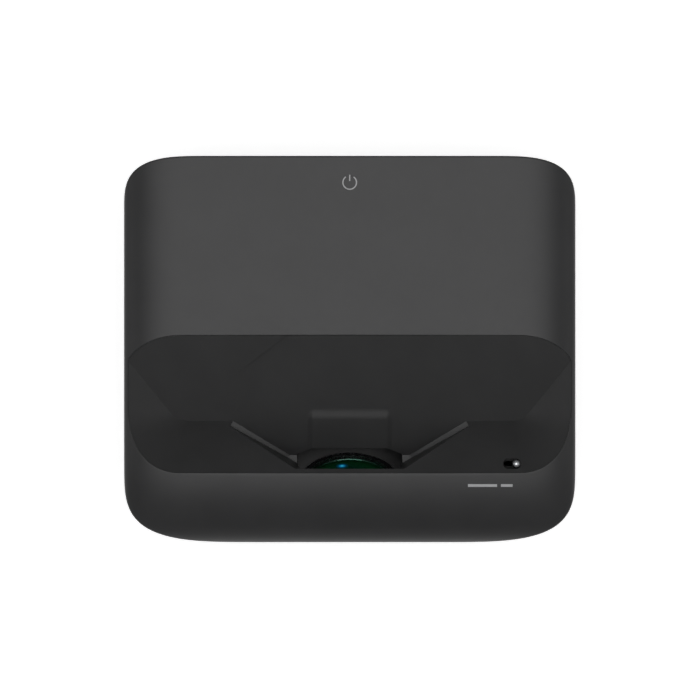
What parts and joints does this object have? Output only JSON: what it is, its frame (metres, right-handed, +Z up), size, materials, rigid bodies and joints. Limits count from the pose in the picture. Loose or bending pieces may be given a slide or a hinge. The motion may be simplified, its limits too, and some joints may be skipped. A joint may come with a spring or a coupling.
{
  "type": "ultra-short-throw home projector",
  "caption": "Low rounded projector that stands against a wall, with a recessed light path over an upward-facing lens, a cloth speaker grille, side vents, rear sockets and adjustable feet.",
  "frame": {"origin": "on the table, under the middle of the body", "axes": "+X to the right for a viewer in the room, along the width; +Y towards the wall; +Z up"},
  "size_m": [0.467, 0.4, 0.133],
  "materials": {
    "shell": "satin",
    "recess": "satin",
    "black_plastic": "matte",
    "rotor": "satin",
    "cloth": "woven",
    "filter": "pleated",
    "lens_ring": "turned",
    "glass": "coated",
    "mirror": "polished",
    "engine": "cast",
    "panels": "gloss",
    "copper": "satin",
    "phosphor": "coated",
    "heatsink": "extruded",
    "steel": "plated",
    "circuit_board": "solder mask",
    "components": "sleeved",
    "button": "satin",
    "light_guide": "clear",
    "speaker": "satin",
    "cone": "paper",
    "rubber": "matte",
    "dial": "satin"
  },
  "bodies": {
    "case": {"top_cover": "shell", "recess_tray": "recess", "base_case": "shell", "rear_panel": "black_plastic", "left_vent": "shell", "right_vent": "shell", "grille_frame": "black_plastic", "grille_cloth": "cloth", "lens_well": "black_plastic", "lens_ring": "lens_ring", "front_lens": "glass", "lens_head": "black_plastic", "mirror_housing": "black_plastic", "fold_mirror": "mirror", "relay_barrel": "black_plastic", "engine_case": "engine", "combining_prism": "glass", "lcd_panels": "panels", "dichroic_mirrors": "mirror", "laser_module": "copper", "wheel_motor": "steel", "laser_heatsink": "heatsink", "heat_pipes": "copper", "exhaust_fan_frame": "black_plastic", "intake_fan_frame": "black_plastic", "blower_housing": "black_plastic", "main_board": "circuit_board", "board_chips": "black_plastic", "wireless_module": "steel", "power_board": "circuit_board", "power_components": "components", "video_ports": "steel", "data_ports": "steel", "audio_ports": "black_plastic", "ac_inlet": "black_plastic", "status_light": "light_guide", "remote_window": "panels", "left_speaker_basket": "speaker", "right_speaker_basket": "speaker", "woofer_basket": "speaker", "rear_feet": "rubber", "case_screws": "steel"},
    "focus_ring_body": {"focus_ring": "rotor"},
    "focus_lever": {"focus_slider": "black_plastic", "focus_knob": "lens_ring"},
    "left_foot": {"left_foot_pad": "rubber"},
    "left_dial": {"left_foot_dial": "dial"},
    "right_foot": {"right_foot_pad": "rubber"},
    "right_dial": {"right_foot_dial": "dial"},
    "exhaust_rotor": {"exhaust_fan_rotor": "rotor"},
    "intake_rotor": {"intake_fan_rotor": "rotor"},
    "blower_wheel": {"blower_rotor": "rotor"},
    "colour_wheel": {"phosphor_wheel": "phosphor"},
    "filter_tray": {"filter_cover": "shell", "air_filter": "filter"},
    "button": {"power_button": "button"},
    "left_cone": {"left_speaker_cone": "cone"},
    "right_cone": {"right_speaker_cone": "cone"},
    "low_cone": {"woofer_cone": "cone"}
  },
  "joints": [
    {"name": "focus_turn", "type": "hinge", "parent": "case", "child": "focus_ring_body", "pos_m": [0, -0.134, 0.068], "axis": [0, 0.8572, 0.515], "range_deg": [-10, 0]},
    {"name": "focus_slide", "type": "slide", "parent": "case", "child": "focus_lever", "axis": [1, 0, 0], "range_m": [-0.0091, 0]},
    {"name": "left_foot_turn", "type": "hinge", "parent": "left_foot", "child": "left_dial", "pos_m": [-0.185, -0.145, 0.005], "axis": [0, 0, -1], "range_deg": [0, 1800]},
    {"name": "left_foot_raise", "type": "slide", "parent": "case", "child": "left_foot", "axis": [0, 0, -1], "range_m": [0, 0.0076]},
    {"name": "right_foot_turn", "type": "hinge", "parent": "right_foot", "child": "right_dial", "pos_m": [0.185, -0.145, 0.005], "axis": [0, 0, -1], "range_deg": [0, 1800]},
    {"name": "right_foot_raise", "type": "slide", "parent": "case", "child": "right_foot", "axis": [0, 0, -1], "range_m": [0, 0.0076]},
    {"name": "exhaust_spin", "type": "hinge", "parent": "case", "child": "exhaust_rotor", "pos_m": [-0.2295, 0.01, 0.041], "axis": [1, 0, 0], "continuous": true},
    {"name": "intake_spin", "type": "hinge", "parent": "case", "child": "intake_rotor", "pos_m": [0.22, 0.0375, 0.041], "axis": [-1, 0, 0], "continuous": true},
    {"name": "blower_spin", "type": "hinge", "parent": "case", "child": "blower_wheel", "pos_m": [0, -0.058, 0.02], "axis": [0, 0, 1], "continuous": true},
    {"name": "wheel_spin", "type": "hinge", "parent": "case", "child": "colour_wheel", "pos_m": [-0.1182, -0.071, 0.0474], "axis": [0, 1, 0], "continuous": true},
    {"name": "filter_pull", "type": "slide", "parent": "case", "child": "filter_tray", "axis": [1, 0, 0], "range_m": [0, 0.06]},
    {"name": "button_press", "type": "slide", "parent": "case", "child": "button", "axis": [-1, 0, 0], "range_m": [0, 0.0012], "stiffness_N_per_m": 600, "springref_m": -0.0005},
    {"name": "left_cone_stroke", "type": "slide", "parent": "case", "child": "left_cone", "axis": [0, -1, 0], "range_m": [-0.0015, 0.0015], "stiffness_N_per_m": 1500},
    {"name": "right_cone_stroke", "type": "slide", "parent": "case", "child": "right_cone", "axis": [0, -1, 0], "range_m": [-0.0015, 0.0015], "stiffness_N_per_m": 1500},
    {"name": "low_cone_stroke", "type": "slide", "parent": "case", "child": "low_cone", "axis": [0, 0, -1], "range_m": [-0.002, 0.002], "stiffness_N_per_m": 2500}
  ],
  "couplings": [
    {"joint": "focus_slide", "follows": "focus_turn", "m_per_rad": 0.052},
    {"joint": "left_foot_raise", "follows": "left_foot_turn", "m_per_rad": 0.00023873},
    {"joint": "right_foot_raise", "follows": "right_foot_turn", "m_per_rad": 0.00023873}
  ]
}
